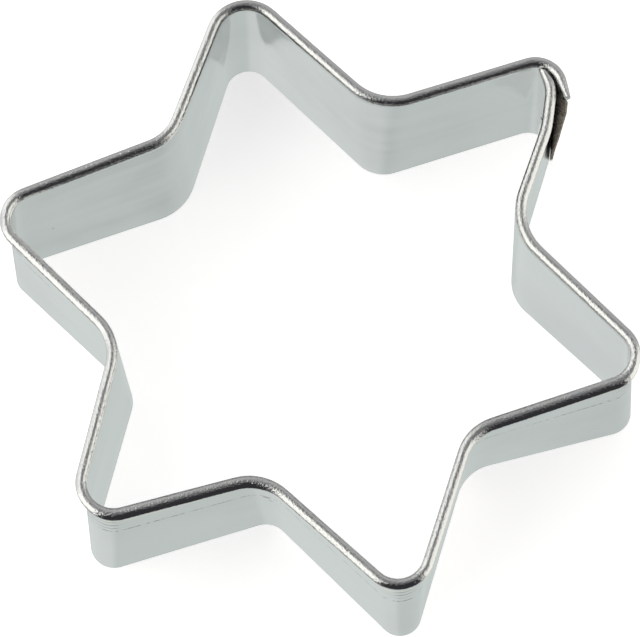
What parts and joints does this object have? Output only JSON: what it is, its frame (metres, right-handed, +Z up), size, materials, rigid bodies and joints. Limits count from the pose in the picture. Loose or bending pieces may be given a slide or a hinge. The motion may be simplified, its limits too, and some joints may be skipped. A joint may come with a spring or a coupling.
{
  "type": "cookie cutter",
  "caption": "Star-shaped cookie cutter bent from thin bright sheet, with a rolled bead round the rim and a lapped seam at one tip.",
  "frame": {"origin": "middle of the footprint, on the surface that the cutting edge stands on", "axes": "+Z up from the cutting edge to the rolled rim, +Y towards the middle tip of the three at the back"},
  "size_m": [0.0624, 0.0682, 0.02],
  "materials": {
    "tinned_sheet": "satin",
    "weld_metal": "matte"
  },
  "bodies": {
    "root": {"cutter_band": "tinned_sheet", "spot_weld_lower": "weld_metal", "spot_weld_upper": "weld_metal"}
  },
  "joints": []
}
